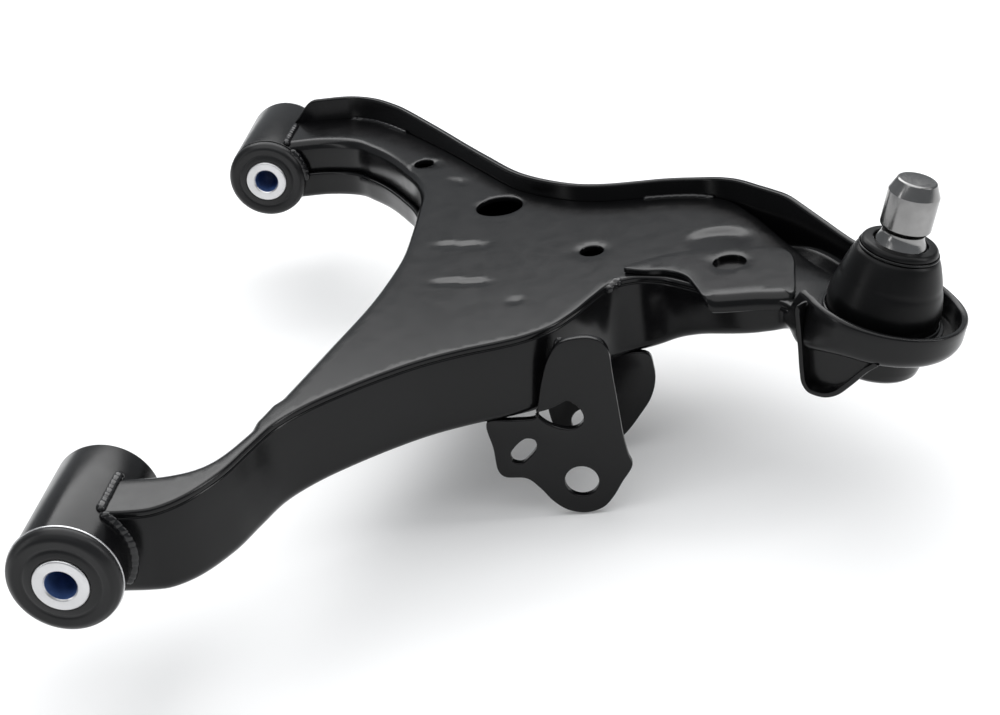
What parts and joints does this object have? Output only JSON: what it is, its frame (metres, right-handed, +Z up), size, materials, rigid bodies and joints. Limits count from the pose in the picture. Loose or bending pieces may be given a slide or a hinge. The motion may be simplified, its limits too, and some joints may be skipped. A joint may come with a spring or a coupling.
{
  "type": "control arm",
  "caption": "Stamped-steel wishbone lower control arm with a bonded bush in each leg, a damper clevis under its front edge and an upright sealed ball joint at its nose.",
  "frame": {"origin": "centre of the front bush's bore", "axes": "+Y along the pivot axis from the front bush to the rear bush, +X outboard towards the ball joint, +Z up"},
  "size_m": [0.4243, 0.524, 0.1641],
  "materials": {
    "black_paint": "satin black electrocoat",
    "zinc_plate": "bright zinc plate",
    "bush_rubber": "matt black natural rubber",
    "boot_rubber": "smooth black rubber, slight sheen",
    "machined_steel": "turned and ground steel",
    "spring_steel": "plain spring steel",
    "liner_plastic": "natural acetal",
    "weld_bead": "painted weld bead, slightly rough"
  },
  "bodies": {
    "arm": {"lower_shell": "black_paint", "upper_plate": "black_paint", "saddle_plate": "black_paint", "front_barrel": "black_paint", "rear_barrel": "black_paint", "front_bush_sleeve": "zinc_plate", "rear_bush_sleeve": "zinc_plate", "front_bush_rubber": "bush_rubber", "rear_bush_rubber": "bush_rubber", "damper_front_lug": "black_paint", "damper_rear_lug": "black_paint", "steering_stop": "black_paint", "ball_housing": "black_paint", "housing_cover": "black_paint", "preload_disc": "spring_steel", "boot_base_ring": "black_paint", "front_bush_weld": "weld_bead", "rear_bush_weld": "weld_bead", "lug_weld": "weld_bead", "saddle_weld": "weld_bead", "stop_weld": "weld_bead"},
    "front_tube": {"front_crush_tube": "zinc_plate"},
    "rear_tube": {"rear_crush_tube": "zinc_plate"},
    "liner": {"bearing_liner": "liner_plastic"},
    "boot_neck": {"boot_slip_ring": "spring_steel", "boot_garter_ring": "black_paint", "dust_boot": "boot_rubber"},
    "stud": {"ball_stud": "machined_steel"}
  },
  "joints": [
    {"name": "front_pivot", "type": "hinge", "parent": "arm", "child": "front_tube", "pos_m": [0, 0, 0], "axis": [0, 1, 0], "range_deg": [-20, 20], "stiffness_Nm_per_rad": 0.5},
    {"name": "rear_pivot", "type": "hinge", "parent": "arm", "child": "rear_tube", "pos_m": [0, 0.44, 0], "axis": [0, 1, 0], "range_deg": [-20, 20], "stiffness_Nm_per_rad": 0.5},
    {"name": "socket_swivel", "type": "hinge", "parent": "arm", "child": "liner", "pos_m": [0.3567, 0.1204, 0.0093], "axis": [0.2798, 0, 0.96], "continuous": true},
    {"name": "stud_tilt", "type": "hinge", "parent": "liner", "child": "boot_neck", "pos_m": [0.3567, 0.1204, 0.0093], "axis": [0, 1, 0], "range_deg": [-25, 25], "deforming": ["dust_boot"]},
    {"name": "stud_spin", "type": "hinge", "parent": "boot_neck", "child": "stud", "pos_m": [0.3567, 0.1204, 0.0093], "axis": [0.2798, 0, 0.96], "continuous": true}
  ],
  "couplings": [
    {"joint": "rear_pivot", "follows": "front_pivot", "ratio": 1}
  ]
}
